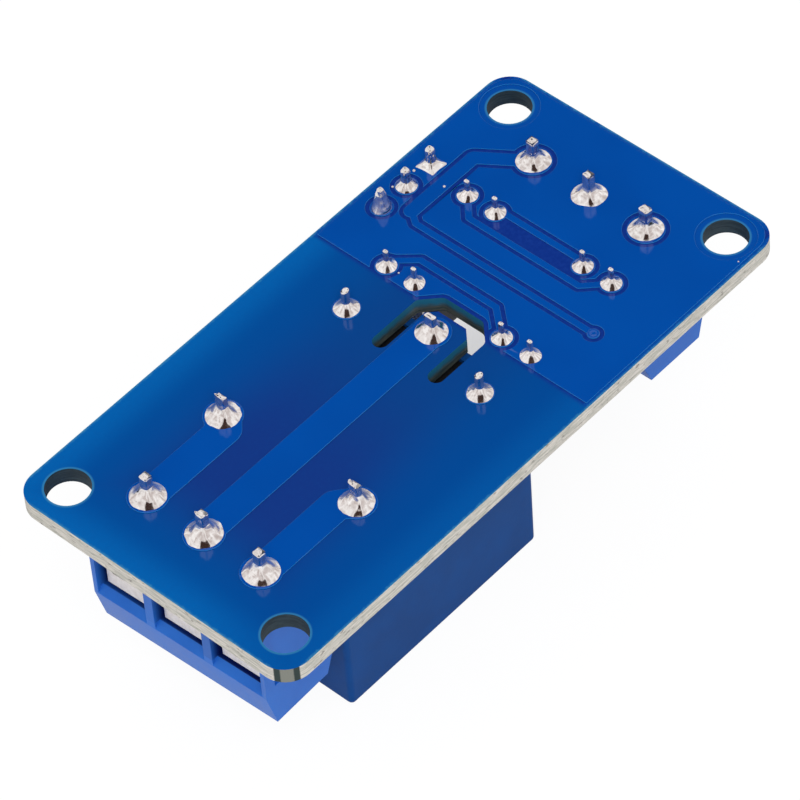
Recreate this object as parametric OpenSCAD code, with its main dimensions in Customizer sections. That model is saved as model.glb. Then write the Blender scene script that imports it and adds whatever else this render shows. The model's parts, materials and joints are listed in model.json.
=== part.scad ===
// Single-channel relay module board, solder side up.
// Origin: centre of the four mounting holes, on the solder face of the laminate.
// +X runs from the output terminal to the input terminal, +Z away from the solder face.

/* [Board] */
// Length of the board along X
board_l = 49.6; // [49.4:0.1:52]
// Width of the board along Y
board_w = 24.8; // [24.6:0.1:26]
// Thickness of the laminate
board_t = 1.3; // [1.0:0.1:1.6]
// Radius of the board's corners
corner_r = 2.0; // [1.0:0.1:2.4]
// Distance between mounting holes along X
hole_pitch_x = 44.2; // [43.8:0.1:44.4]
// Distance between mounting holes along Y
hole_pitch_y = 19.5; // [19.2:0.1:19.8]
// Diameter of the mounting holes
hole_d = 3.2; // [2.8:0.1:3.3]
// Thickness of a copper layer under its mask
copper_t = 0.07; // [0.05:0.01:0.1]

/* [Screw terminals] */
// Distance between neighbouring poles
pole_pitch = 5.08; // [5.0:0.02:5.08]
// Height of a terminal block above the board
block_h = 10.1; // [9.8:0.1:10.4]
// Thickness of the walls between poles
pole_wall = 0.76; // [0.6:0.02:0.9]
// Distance of the output pins from the board's centre
output_x = 19.35; // [19.2:0.05:19.5]
// Distance of the input pins from the board's centre
input_x = 19.23; // [19.1:0.05:19.4]
// How far the output terminal sits turned on its pins, degrees
block_turn = 1.9; // [0:0.1:2]

/* [Relay] */
// Height of the relay's cover above the board
relay_h = 15.4; // [14.9:0.1:15.8]
// Width of the cover at its top
relay_w = 15.0; // [14.9:0.1:15.4]
// How much the cover widens towards the board, each side
relay_draft = 0.12; // [0.05:0.01:0.15]
// Wall thickness of the cover
relay_wall = 0.6; // [0.5:0.05:0.65]
// Angle of the released armature to the pole face
armature_lift = 3.0; // [2.5:0.1:3.2]

/* [Control side] */
// Distance between the two pin rows of an optocoupler
coupler_rows = 8.3; // [8.1:0.1:8.4]
// Length of the header pins above their plastic
header_pin_l = 5.8; // [5:0.1:6.5]

/* [Solder] */
// Height of a power pin's end above the solder face
power_tip = 2.1; // [1.6:0.1:2.4]
// Height of a small pin's end above the solder face
small_tip = 1.5; // [1.3:0.1:1.7]
// Height of the fillets on the power pins
power_fillet_h = 1.15; // [0.9:0.05:1.3]

/* [Hidden] */
$fn = 48;
eps = 0.02;          // running gap that keeps curved faces apart
over = 1;            // how far a cutter reaches past the face it cuts
seat = board_t + copper_t;      // solder face of the laminate to the parts' seat on the other side

// ---- places of the pins on the board ----
poles = 3;
pole_ys = [for (i = [0 : poles - 1]) (i - (poles - 1) / 2) * pole_pitch];
common_at = [3.1, 0.1];         // relay common pin
coil_x = 1.1;                   // relay coil pins
contact_x = -11.1;              // relay open and closed contact pins
relay_pin_y = 6.0;
small_pitch = 2.54;             // neighbouring header pins or optocoupler leads
header_x = 12.03;               // middle pin of the jumper header
header_y = 10.35;
coupler_x = 9.83;               // middle of both optocouplers
coupler_y = 5.2;
row_near_x = coupler_x - coupler_rows / 2;
row_far_x = coupler_x + coupler_rows / 2;
lead_y = [coupler_y - small_pitch / 2, coupler_y + small_pitch / 2];
via_at = [9.8, -8.45];

output_pins = [for (y = pole_ys) [-output_x, y]];
input_pins = [for (y = pole_ys) [input_x, y]];
relay_contact_pins = [[contact_x, relay_pin_y], [contact_x, -relay_pin_y]];
relay_coil_pin_places = [[coil_x, relay_pin_y], [coil_x, -relay_pin_y]];
header_pin_places = [for (i = [-1 : 1]) [header_x + i * small_pitch, header_y]];
coupler_places = [for (x = [row_far_x, row_near_x], s = [1, -1], y = lead_y) [x, s * y]];

// ---- pin sections and drills ----
power_pin = 0.6;                // terminal pins, square
contact_pin = [0.4, 0.75];      // relay contact and common pins, flat
coil_pin = [0.42, 0.42];
header_pin = 0.64;
lead = [0.22, 0.35];            // optocoupler lead, thickness and width
power_drill = 0.65;             // drill radii
contact_drill = 0.6;
coil_drill = 0.5;
header_drill = 0.55;
lead_drill = 0.42;
via_drill = 0.2;
via_pad_r = 0.45;
contact_tip = 1.9;              // ends of the relay's pins above the solder face
common_tip = 1.6;
coil_tip = 1.8;
header_tip = small_tip + 0.2;

// ---- shared shapes ----
module at(places) { for (p = places) translate(p) children(); }

// Turns "height above the parts' seat on the component side" into the board's frame.
module under_board() { mirror([0, 0, 1]) translate([0, 0, seat]) children(); }

module rounded_plate(l, w, r) {
  square([l - 2 * r, w], center = true);
  square([l, w - 2 * r], center = true);
  at([for (x = [-1, 1], y = [-1, 1]) [x * (l / 2 - r), y * (w / 2 - r)]]) circle(r);
}

// A straight stroke from a to b with round ends.
module stroke(a, b, w) {
  d = b - a;
  translate(a) rotate(atan2(d.y, d.x)) translate([0, -w / 2]) square([norm(d), w]);
  at([a, b]) circle(w / 2);
}

module track(points, w) { for (i = [1 : len(points) - 1]) stroke(points[i - 1], points[i], w); }

module block(from, to) { translate(from) cube(to - from); }

// Upright bar of the given section from one height to another.
module bar(section, from, to)
  block([-section.x / 2, -section.y / 2, from], [section.x / 2, section.y / 2, to]);

// ---- bare board ----
slot_w = 1.2;
slot_y = -0.25;                 // middle line of the isolation slot
slot_half = 2.5;
slot_near_x = 0.4;
slot_far_x = 5.4;
slot_bevel = 1.0;
slot_path = [
  [slot_near_x, slot_y + slot_half], [slot_far_x - slot_bevel, slot_y + slot_half],
  [slot_far_x, slot_y + slot_half - slot_bevel], [slot_far_x, slot_y - slot_half + slot_bevel],
  [slot_far_x - slot_bevel, slot_y - slot_half], [slot_near_x, slot_y - slot_half]];
mount_holes = [for (x = [-1, 1], y = [-1, 1]) [x * hole_pitch_x / 2, y * hole_pitch_y / 2]];

module drills() {
  at(concat(output_pins, input_pins)) circle(power_drill);
  at(concat(relay_contact_pins, [common_at])) circle(contact_drill);
  at(relay_coil_pin_places) circle(coil_drill);
  at(header_pin_places) circle(header_drill);
  at(coupler_places) circle(lead_drill);
  translate(via_at) circle(via_drill, $fn = 24);
}

module circuit_board() color([0.03, 0.25, 0.62])
  translate([0, 0, -board_t]) linear_extrude(board_t) difference() {
    rounded_plate(board_l, board_w, corner_r);
    at(mount_holes) circle(hole_d / 2);
    track(slot_path, slot_w);
    drills();
  }

// ---- copper of the solder side ----
gap = 0.3;                      // bare line between a track and the ground pour
pour_inset = 0.3;
pour_near_x = 4.85;
power_track_w = 2.55;
common_track_y = 0.15;
track_bend_x = -12.1;           // where the outer power tracks turn to the relay's pins
supply_w = 1.15;
signal_w = 0.5;
output_pad_r = 1.45;
contact_pad_r = 1.4;
coil_pad_r = 1.0;
header_pad_r = 0.85;
coupler_pad_r = 0.85;
input_pad_r = 1.35;
hole_keepout_r = hole_d / 2 + 0.55;

power_tracks = [
  [[-output_x, pole_pitch], [track_bend_x, pole_pitch], [contact_x, relay_pin_y]],
  [[-output_x, common_track_y], [common_at.x, common_track_y]],
  [[-output_x, -pole_pitch], [track_bend_x, -pole_pitch], [contact_x, -relay_pin_y]]];
supply_wide = [[input_x, pole_pitch], [16.9, 8.5], [10.5, 8.5]];
supply_thin = [[10.5, 8.5], [9.8, 7.5], via_at];
signal_tracks = [
  [[row_far_x, lead_y[1]], [12.45, 5.0], [12.45, -4.9], [row_far_x, -lead_y[1]]],
  [[row_far_x, lead_y[0]], [14.3, 3.2], [14.3, -3.2], [row_far_x, -lead_y[0]]],
  [[row_near_x, lead_y[1]], [6.5, 6.2], [7.5, 5.0], [7.5, -1.8], [row_near_x, -lead_y[0]]]];
// Couplers' pads that stand clear of the pour; the other two join it.
coupler_islands = concat(
  [for (s = [1, -1], y = lead_y) [row_far_x, s * y]],
  [[row_near_x, lead_y[1]], [row_near_x, -lead_y[0]]]);
header_islands = [header_pin_places[0], header_pin_places[1]];

module power_copper() {
  for (t = power_tracks) track(t, power_track_w);
  at(output_pins) circle(output_pad_r);
  at(concat(relay_contact_pins, [common_at])) circle(contact_pad_r);
  at(relay_coil_pin_places) circle(coil_pad_r);
}

module signal_copper(grow) {
  track(supply_wide, supply_w + 2 * grow);
  track(supply_thin, signal_w + 2 * grow);
  for (t = signal_tracks) track(t, signal_w + 2 * grow);
  at([input_pins[0], input_pins[2]]) circle(input_pad_r + grow);
  at(header_islands) circle(header_pad_r + grow);
  at(coupler_islands) circle(coupler_pad_r + grow);
  translate(via_at) circle(via_pad_r + grow);
}

module ground_pour() difference() {
  intersection() {
    rounded_plate(board_l - 2 * pour_inset, board_w - 2 * pour_inset, corner_r - pour_inset);
    translate([pour_near_x, -board_w / 2]) square([board_l, board_w]);
  }
  signal_copper(gap);
  // bare strip between the two middle tracks
  translate([12.45, -4.4]) square([1.85, 8.6]);
  track(slot_path, slot_w + 2 * gap);
  at(mount_holes) circle(hole_keepout_r);
}

module solder_side_copper() color([0.02, 0.33, 0.72])
  linear_extrude(copper_t) difference() {
    union() {
      power_copper();
      signal_copper(0);
      ground_pour();
    }
    drills();
  }

// ---- solder joints ----
// Half outline of a fillet: a hollow arc from the pad's rim up to the pin, and the solder in the hole.
module fillet_outline(pad_r, neck_r, h, drill_r) {
  foot = [pad_r, 0];
  head = [neck_r, h];
  chord = norm(foot - head);
  arc_r = 1.5 * chord;
  out = [h, pad_r - neck_r] / chord;
  translate([0, copper_t]) difference() {
    polygon([[0, 0], foot, head, [0, h]]);
    translate((foot + head) / 2 + out * sqrt(arc_r * arc_r - chord * chord / 4)) circle(arc_r, $fn = 96);
  }
  translate([0, -board_t]) square([drill_r - eps, board_t + copper_t]);
}

// Solder round one pin of the given section.
module joint(pad_r, neck_r, h, drill_r, pin) difference() {
  rotate_extrude() fillet_outline(pad_r, neck_r, h, drill_r);
  cube([pin.x, pin.y, 4 * board_t], center = true);
}

module terminal_solder() color("silver") {
  at(output_pins) joint(1.32, 0.5, power_fillet_h, power_drill, [power_pin, power_pin]);
  at(input_pins) joint(1.22, 0.5, power_fillet_h, power_drill, [power_pin, power_pin]);
}

module relay_solder() color("silver") {
  at(concat(relay_contact_pins, [common_at])) joint(1.22, 0.46, 1.1, contact_drill, contact_pin);
  at(relay_coil_pin_places) joint(0.92, 0.36, 0.95, coil_drill, coil_pin);
}

module header_solder() color("silver")
  at(header_pin_places) joint(0.76, 0.48, 0.8, header_drill, [header_pin, header_pin]);

module coupler_solder() color("silver")
  at(coupler_places) joint(0.78, 0.27, 0.75, lead_drill, lead);

// ---- screw terminal, local frame: +X towards the wire entry, pins on Y, z = 0 on the board ----
block_back = -4.1;
block_front = 3.25;
block_ledge = 7.05;             // height at which the front starts to slope
block_shoulder = 6.2;           // height at which the back starts to slope
block_top = [-2.6, 2.5];        // the screw face, back to front
block_w = poles * pole_pitch;
panel = [0.9, 0.2, 6.4];        // rim, depth and height of the recess in one end wall
chamber_w = pole_pitch - pole_wall;
chamber_z = [1.0, 6.4];
chamber_back = -3.2;
mouth_bevel = 0.55;
screw_x = 0.1;
screw_well_r = 1.85;
shank_r = 1.2;
head_r = 1.7;
head_z = [6.5, 8.4];
head_slot = [0.5, 0.8];         // width and depth
strip_t = 0.5;                  // contact strip
strip_w = 2.2;
strip_back = -2.95;
strip_front = 2.2;
tongue_z = 3.7;
block_play = [0.12, 0.15];      // how far the blocks sit off their pins' places
foot_front = power_pin / 2 + block_play.x;
clamp_x = [-1.9, 2.7];
clamp_w = 3.3;
clamp_z = [1.2, 5.85];
clamp_wall = 0.5;
clamp_floor = 0.8;
clamp_roof = 1.2;

// Side outline pulled out to the given width, once at every pole.
module along_poles(width) {
  for (y = pole_ys) translate([0, y + width / 2, 0]) rotate([90, 0, 0]) linear_extrude(width) children();
}

module terminal_housing() difference() {
  translate([0, block_w / 2, 0]) rotate([90, 0, 0]) linear_extrude(block_w)
    polygon([[block_back, 0], [block_front, 0], [block_front, block_ledge], [block_top[1], block_h],
             [block_top[0], block_h], [block_back, block_shoulder]]);
  // wire chambers, with a bevelled lip at the mouth
  along_poles(chamber_w)
    polygon([[chamber_back, chamber_z[0]], [block_front + over, chamber_z[0]],
             [block_front + over, chamber_z[1] + mouth_bevel + over],
             [block_front - mouth_bevel, chamber_z[1]], [chamber_back, chamber_z[1]]]);
  // grooves for the contact strips
  along_poles(strip_w + 2 * eps) {
    translate([strip_back - eps, -over]) square([foot_front - strip_back + 2 * eps, over + strip_t + eps]);
    translate([strip_back - eps, -over]) square([strip_t + 2 * eps, over + chamber_z[0] + eps]);
  }
  // screw wells
  at([for (y = pole_ys) [screw_x, y, chamber_z[1] - eps]]) cylinder(r = screw_well_r, h = block_h);
  // shallow recess in one end wall
  block([block_back + panel[0], block_w / 2 - panel[1], -over],
        [block_front - panel[0], block_w / 2 + over, panel[2]]);
}

module terminal_strips() along_poles(strip_w) union() {
  translate([strip_back, 0]) square([foot_front - strip_back, strip_t]);
  translate([strip_back, 0]) square([strip_t, tongue_z + strip_t]);
  translate([strip_back, tongue_z]) square([strip_front - strip_back, strip_t]);
}

module terminal_pins(places) under_board()
  at(places) bar([power_pin, power_pin], -seat - power_tip, strip_t / 2);

module terminal_clamps() difference() {
  along_poles(clamp_w) translate([clamp_x[0], clamp_z[0]])
    square([clamp_x[1] - clamp_x[0], clamp_z[1] - clamp_z[0]]);
  along_poles(clamp_w - 2 * clamp_wall) translate([clamp_x[0] - over, clamp_z[0] + clamp_floor])
    square([clamp_x[1] - clamp_x[0] + 2 * over, clamp_z[1] - clamp_z[0] - clamp_floor - clamp_roof]);
  at([for (y = pole_ys) [screw_x, y, clamp_z[0] + clamp_floor + eps]])
    cylinder(r = shank_r + eps, h = block_h);
}

module terminal_screws() at([for (y = pole_ys) [screw_x, y, 0]]) difference() {
  union() {
    translate([0, 0, tongue_z + strip_t]) cylinder(r = shank_r, h = head_z[0] - tongue_z);
    translate([0, 0, head_z[0]]) cylinder(r = head_r, h = head_z[1] - head_z[0]);
  }
  translate([-head_r - over, -head_slot[0] / 2, head_z[1] - head_slot[1]])
    cube([2 * head_r + 2 * over, head_slot[0], head_slot[1] + over]);
}

module place_output()
  translate([-output_x - block_play.x, block_play.y, 0]) under_board()
    rotate(180 + block_turn) children();
module place_input() translate([input_x - block_play.x, block_play.y, 0]) under_board() children();

module output_terminal_housing() color([0.22, 0.42, 0.82]) place_output() terminal_housing();
module output_terminal_contacts() color("silver") {
  terminal_pins(output_pins);
  place_output() terminal_strips();
}
module output_terminal_clamps() color("gainsboro") place_output() terminal_clamps();
module output_terminal_screws() color("lightgray") place_output() terminal_screws();
module input_terminal_housing() color([0.22, 0.42, 0.82]) place_input() terminal_housing();
module input_terminal_contacts() color("silver") {
  terminal_pins(input_pins);
  place_input() terminal_strips();
}
module input_terminal_clamps() color("gainsboro") place_input() terminal_clamps();
module input_terminal_screws() color("lightgray") place_input() terminal_screws();

// ---- relay, local frame: X and Y of the board, z = 0 on the parts' seat ----
relay_x = [-14.85, 4.0];        // ends of the cover at its top
cover_r = 0.4;
base_z = [0.3, 1.5];
yoke_t = 1.2;
yoke_x = 2.75;                  // outer face of the yoke's upright, where the armature turns
yoke_w = 7.0;
yoke_foot = 2.6;                // length of the foot past the core's middle
yoke_top = 10.6;
core_x = -3.9;
core_r = 1.5;
pole_r = 2.9;
pole_t = 0.7;
bobbin_z = [base_z[1] + yoke_t, yoke_top - pole_t];
bobbin_l = 9.6;
bobbin_w = 11.4;
flange_t = [1.2, 0.6];          // lower and upper flange
tube_r = [core_r + 0.05, core_r + 0.55];
pin_arm = [4.4, 6.7];           // arms that hold the coil pins, from and to along Y
pin_socket = 0.9;               // depth of a coil pin in its arm
coil_r = 4.6;
plate_t = 1.1;                  // armature
plate_w = 6.8;
plate_l = yoke_x - core_x + pole_r + 0.6;
spring_t = 0.2;
spring_w = [4.8, 2.6];          // leaf over the armature and at the contact end
spring_l = 15.65;               // turning edge to the leaf's tip
tail_x = 0.08;                  // gap between the yoke and the spring's tail
tail_l = 4.5;
rivet_x = -11.9;                // contact rivets
rivet_r = 0.9;
rivet_t = 0.4;
rivet_shank_r = 0.4;
blade_t = 0.4;
blade_y = 6.4;                  // outer face of the fixed contacts' blades
blade_x = [-13.3, -10.5];
arm_past = 1.2;                 // how far their arms reach past the centre line
cover_inner_x = [relay_x[0] + relay_wall, relay_x[1] - relay_wall];
cover_inner_y = relay_w / 2 - relay_wall;

module relay_cover() color([0.16, 0.31, 0.57]) under_board() difference() {
  hull() {
    translate([(relay_x[0] + relay_x[1]) / 2, 0, 0]) linear_extrude(0.2)
      rounded_plate(relay_x[1] - relay_x[0] + 2 * relay_draft, relay_w + 2 * relay_draft, cover_r, $fn = 24);
    at([for (x = [relay_x[0] + cover_r, relay_x[1] - cover_r], y = [-1, 1])
        [x, y * (relay_w / 2 - cover_r), relay_h - cover_r]]) sphere(cover_r, $fn = 24);
  }
  block([cover_inner_x[0], -cover_inner_y, -over], [cover_inner_x[1], cover_inner_y, relay_h - relay_wall]);
}

module relay_base() color([0.12, 0.13, 0.16]) under_board() difference() {
  block([cover_inner_x[0], -cover_inner_y, base_z[0]], [cover_inner_x[1], cover_inner_y, base_z[1]]);
  at(relay_coil_pin_places) bar(coil_pin, 0, base_z[1] + over);
  at(concat(relay_contact_pins, [common_at])) bar(contact_pin, 0, base_z[1] + over);
}

module relay_bobbin() color([0.85, 0.84, 0.8]) under_board() difference() {
  union() {
    translate([core_x, 0, bobbin_z[0]]) linear_extrude(flange_t[0]) rounded_plate(bobbin_l, bobbin_w, 1.5);
    translate([core_x, 0, bobbin_z[1] - flange_t[1]]) linear_extrude(flange_t[1])
      rounded_plate(bobbin_l, bobbin_w, 1.5);
    for (s = [0, 1]) mirror([0, s, 0])
      block([core_x, pin_arm[0], bobbin_z[0]], [coil_x + 0.7, pin_arm[1], bobbin_z[0] + flange_t[0]]);
    translate([core_x, 0, bobbin_z[0]]) cylinder(r = tube_r[1], h = bobbin_z[1] - bobbin_z[0]);
  }
  translate([core_x, 0, 0]) cylinder(r = tube_r[0], h = relay_h);
  at(relay_coil_pin_places) bar(coil_pin, 0, bobbin_z[0] + pin_socket);
}

module relay_coil() color([0.72, 0.36, 0.16]) under_board() translate([core_x, 0, 0]) difference() {
  translate([0, 0, bobbin_z[0] + flange_t[0]])
    cylinder(r = coil_r, h = bobbin_z[1] - bobbin_z[0] - flange_t[0] - flange_t[1]);
  cylinder(r = tube_r[1] + eps, h = relay_h);
}

module relay_core() color([0.6, 0.6, 0.62]) under_board() translate([core_x, 0, 0]) {
  translate([0, 0, base_z[1]]) cylinder(r = core_r - eps, h = bobbin_z[1] - base_z[1]);
  translate([0, 0, bobbin_z[1]]) cylinder(r = pole_r, h = pole_t);
}

module relay_yoke() color([0.66, 0.66, 0.68]) under_board() difference() {
  union() {
    block([core_x - yoke_foot, -yoke_w / 2, base_z[1]], [yoke_x, yoke_w / 2, base_z[1] + yoke_t]);
    block([yoke_x - yoke_t, -yoke_w / 2, base_z[1]], [yoke_x, yoke_w / 2, yoke_top]);
  }
  translate([core_x, 0, 0]) cylinder(r = core_r, h = base_z[1] + yoke_t + over);
}

module relay_common_pin() color("silver") under_board() translate(common_at) {
  bar(contact_pin, -seat - common_tip, base_z[1]);
  // riser welded to the yoke
  block([yoke_x - common_at.x, -contact_pin.y / 2, base_z[1]], [contact_pin.x / 2, contact_pin.y / 2, 4.5]);
}

module relay_coil_pins() color("silver") under_board()
  at(relay_coil_pin_places) bar(coil_pin, -seat - coil_tip, bobbin_z[0] + pin_socket);

// A fixed contact on the +Y side: pin, blade up beside the coil, arm to the middle and a rivet.
module fixed_contact(arm_z, rivet_z) {
  translate([contact_x, relay_pin_y, 0]) bar(contact_pin, -seat - contact_tip, base_z[1]);
  block([blade_x[0], blade_y - blade_t, base_z[1]], [blade_x[1], blade_y, arm_z + blade_t]);
  block([blade_x[0], -arm_past, arm_z], [blade_x[1], blade_y, arm_z + blade_t]);
  translate([rivet_x, 0, rivet_z]) cylinder(r = rivet_r, h = rivet_t);
}

// Heights at the rivets, worked out from the released armature's angle and its travel.
closing = armature_lift - 0.2;  // travel of the armature, degrees
rivet_arm = yoke_x - rivet_x;   // turning edge to the rivets
leaf_low = yoke_top + rivet_arm * tan(armature_lift) + plate_t / cos(armature_lift);
leaf_high = leaf_low + spring_t / cos(armature_lift);
contact_travel = rivet_arm * tan(closing);
open_face = leaf_low - rivet_t - contact_travel - 0.05;
closed_face = leaf_high + rivet_t + 0.08;

module relay_open_contact() color([0.8, 0.55, 0.3]) under_board()
  fixed_contact(open_face - rivet_t - blade_t, open_face - rivet_t);

module relay_closed_contact() color([0.8, 0.55, 0.3]) under_board()
  mirror([0, 1, 0]) fixed_contact(closed_face + rivet_t, closed_face);

// Places a piece drawn about the armature's turning edge; lifted tilts it to the released angle.
module at_edge() under_board() translate([yoke_x, 0, yoke_top]) children();
module lifted() at_edge() rotate([0, armature_lift, 0]) children();

module relay_armature() color([0.62, 0.62, 0.64]) lifted()
  block([-plate_l, -plate_w / 2, eps], [0, plate_w / 2, plate_t]);

module relay_contact_spring() color([0.82, 0.6, 0.32]) {
  // leaf on the armature, narrowing to the contact end
  lifted() translate([0, 0, plate_t]) linear_extrude(spring_t) difference() {
    union() {
      translate([-plate_l, -spring_w[0] / 2]) square([plate_l + tail_x + spring_t, spring_w[0]]);
      translate([-spring_l, -spring_w[1] / 2]) square([spring_l, spring_w[1]]);
    }
    translate([-rivet_arm / cos(armature_lift), 0]) circle(rivet_shank_r + eps);
  }
  // tail that hangs down behind the yoke
  at_edge() block([tail_x, -spring_w[0] / 2, -tail_l], [tail_x + spring_t, spring_w[0] / 2, plate_t + eps]);
}

module relay_moving_contact() color([0.9, 0.88, 0.82])
  lifted() translate([-rivet_arm / cos(armature_lift), 0, 0]) {
  translate([0, 0, plate_t - rivet_t]) cylinder(r = rivet_r, h = rivet_t);
  translate([0, 0, plate_t]) cylinder(r = rivet_shank_r, h = spring_t);
  translate([0, 0, plate_t + spring_t]) cylinder(r = rivet_r, h = rivet_t);
}

// ---- optocouplers ----
coupler_w = 4.6;
coupler_z = [0.4, 3.9];
coupler_waist = 3.25;           // half length at the leads
lead_z = [2.1, 2.35];
lead_shoulder = 1.2;            // width of a lead beside the body
lead_stop = 0.4;                // height of that shoulder above the seat

module coupler_body()
  translate([0, coupler_w / 2, 0]) rotate([90, 0, 0]) linear_extrude(coupler_w)
    polygon([[-3.05, coupler_z[0]], [3.05, coupler_z[0]],
             [coupler_waist, lead_z[0]], [coupler_waist, lead_z[1]],
             [3.0, coupler_z[1]], [-3.0, coupler_z[1]],
             [-coupler_waist, lead_z[1]], [-coupler_waist, lead_z[0]]]);

module coupler_leads()
  for (turn = [0, 180], y = [-1, 1]) rotate(turn) translate([0, y * small_pitch / 2, 0]) {
  outside = coupler_rows / 2 + lead.x / 2;
  block([coupler_waist, -lead_shoulder / 2, lead_z[0]], [outside, lead_shoulder / 2, lead_z[1]]);
  block([outside - lead.x, -lead_shoulder / 2, lead_stop], [outside, lead_shoulder / 2, lead_z[0]]);
  block([outside - lead.x, -lead.y / 2, -seat - small_tip], [outside, lead.y / 2, lead_stop]);
}

module place_a() translate([coupler_x, coupler_y, 0]) under_board() children();
module place_b() translate([coupler_x, -coupler_y, 0]) under_board() children();

module coupler_a_body() color([0.1, 0.1, 0.11]) place_a() coupler_body();
module coupler_a_leads() color("silver") place_a() coupler_leads();
module coupler_b_body() color([0.1, 0.1, 0.11]) place_b() coupler_body();
module coupler_b_leads() color("silver") place_b() coupler_leads();

// ---- jumper header ----
header_h = 2.5;
header_w = 2.5;
header_bevel = 0.45;
cap_lift = 0.3;                 // gap between the cap and the header's plastic
cap_cavity = header_pin_l - cap_lift + 0.05;
cap_h = cap_cavity + 0.45;
cap_bore = [4.2, 1.6];
clip_w = 1.2;
clip_z = [0.6, 4.6];
probe_r = 0.4;                  // test holes in the cap's roof

module place_header() translate([header_x, header_y, 0]) under_board() children();
module header_posts() for (i = [-1 : 1]) translate([i * small_pitch, 0, 0]) children();
// The cap bridges the middle pin and the one towards the input.
module place_cap() place_header() translate([small_pitch / 2, 0, header_h + cap_lift]) children();
module cap_posts() for (s = [-1, 1]) translate([s * small_pitch / 2, 0, 0]) children();

// Rectangle of half sizes a and b with its corners cut off by c.
module bevelled(a, b, c) polygon([
  [-a, c - b], [c - a, -b], [a - c, -b], [a, c - b],
  [a, b - c], [a - c, b], [c - a, b], [-a, b - c]]);

module header_base() color([0.08, 0.08, 0.09]) place_header() difference() {
  linear_extrude(header_h) header_posts() bevelled(small_pitch / 2, header_w / 2, header_bevel);
  header_posts() bar([header_pin, header_pin], -over, header_h + over);
}

module header_pins() color([0.85, 0.75, 0.45]) place_header() header_posts()
  bar([header_pin, header_pin], -seat - header_tip, header_h + header_pin_l);

module jumper_cap() color([0.9, 0.75, 0.1]) place_cap() difference() {
  linear_extrude(cap_h) rounded_plate(4.95, 2.4, 0.3, $fn = 24);
  bar(cap_bore, -over, cap_cavity);
  cap_posts() cylinder(r = probe_r, h = cap_h + over);
}

module jumper_clip() color([0.8, 0.62, 0.3]) place_cap() difference() {
  bar([cap_bore.x, clip_w], clip_z[0], clip_z[1]);
  cap_posts() bar([header_pin, header_pin], 0, cap_h);
}

// ---- small surface parts, each place given as x, y and turn ----
resistor_places = [
  [6.6, 10, 90], [11.0, 0, 90], [13.4, 0, 90],
  [11.0, -10, 90], [13.0, -10, 90], [15.0, -10, 90]];
power_led_place = [17.2, 10, 90];
status_led_place = [17.2, -10, 90];
transistor_place = [7.4, -10, 0];
diode_place = [2.0, -10, 0];
chip = [2.0, 1.25, 0.5];        // length, width and height of a chip resistor
chip_cap = 0.4;                 // length of a metal end
chip_pad = [1.0, 1.4];
chip_pad_x = 1.15;              // pad centre from the chip's middle
led_lens = [1.2, 1.25, 0.8];
gull_t = 0.12;                  // thickness of the small parts' leads
chip_places = concat(resistor_places, [power_led_place, status_led_place]);

module turned(places) { for (p = places) translate([p.x, p.y]) rotate(p[2]) children(); }
module both_ends() for (turn = [0, 180]) rotate(turn) children();

// Lead that leaves a body's face at x = 0, bends down and ends in a foot on the seat.
module gull_lead(w, exit_z, reach) {
  block([0, -w / 2, exit_z], [0.25, w / 2, exit_z + gull_t]);
  block([0.25 - gull_t, -w / 2, 0], [0.25, w / 2, exit_z]);
  block([0.25 - gull_t, -w / 2, 0], [reach, w / 2, gull_t]);
}

// Wedge of solder with its upright face on x = 0 and its toe towards +X.
module solder_wedge(w, h, toe) translate([0, w / 2, 0]) rotate([90, 0, 0]) linear_extrude(w)
  polygon([[0, 0], [toe, 0], [toe * 0.35, h * 0.4], [0, h]]);

module chip_resistors() color([0.09, 0.09, 0.1]) under_board() turned(resistor_places)
  bar([chip.x - 2 * chip_cap, chip.y], 0, chip.z);

module chip_ends() color("silver") under_board() turned(chip_places) both_ends()
  block([chip.x / 2 - chip_cap, -chip.y / 2, 0], [chip.x / 2, chip.y / 2, chip.z]);

module power_led() color([0.95, 0.6, 0.55]) under_board() turned([power_led_place])
  bar(led_lens, 0, led_lens.z);

module status_led() color([0.7, 0.9, 0.6]) under_board() turned([status_led_place])
  bar(led_lens, 0, led_lens.z);

diode_body_l = 2.7;
diode_lead = [0.9, 0.55];       // width and reach
transistor = [2.9, 1.3, 1.1];
transistor_lead = [0.4, 0.5];
transistor_feet = [[-0.95, 1], [0.95, 1], [0, -1]];   // place along the body and side

module transistor_body() color([0.09, 0.09, 0.1]) under_board() turned([transistor_place])
  bar(transistor, 0.15, transistor.z);

module transistor_leads() color("silver") under_board() turned([transistor_place])
  for (p = transistor_feet) translate([p.x, p.y * transistor.y / 2, 0]) rotate(p.y * 90)
    gull_lead(transistor_lead[0], 0.5, transistor_lead[1]);

module diode_body() color([0.09, 0.09, 0.1]) under_board() turned([diode_place])
  bar([diode_body_l, 1.6], 0.15, 1.2);

module diode_leads() color("silver") under_board() turned([diode_place]) both_ends()
  translate([diode_body_l / 2, 0, 0]) gull_lead(diode_lead[0], 0.5, diode_lead[1]);

module chip_solder() color("silver") under_board() {
  turned(chip_places) both_ends() translate([chip.x / 2, 0, 0]) solder_wedge(chip.y, 0.4, 0.5);
  turned([diode_place]) both_ends() translate([diode_body_l / 2 + diode_lead[1], 0, 0])
    solder_wedge(diode_lead[0], gull_t, 0.25);
  turned([transistor_place]) for (p = transistor_feet)
    translate([p.x, p.y * (transistor.y / 2 + transistor_lead[1]), 0]) rotate(p.y * 90)
      solder_wedge(transistor_lead[0], gull_t, 0.2);
}

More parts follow.
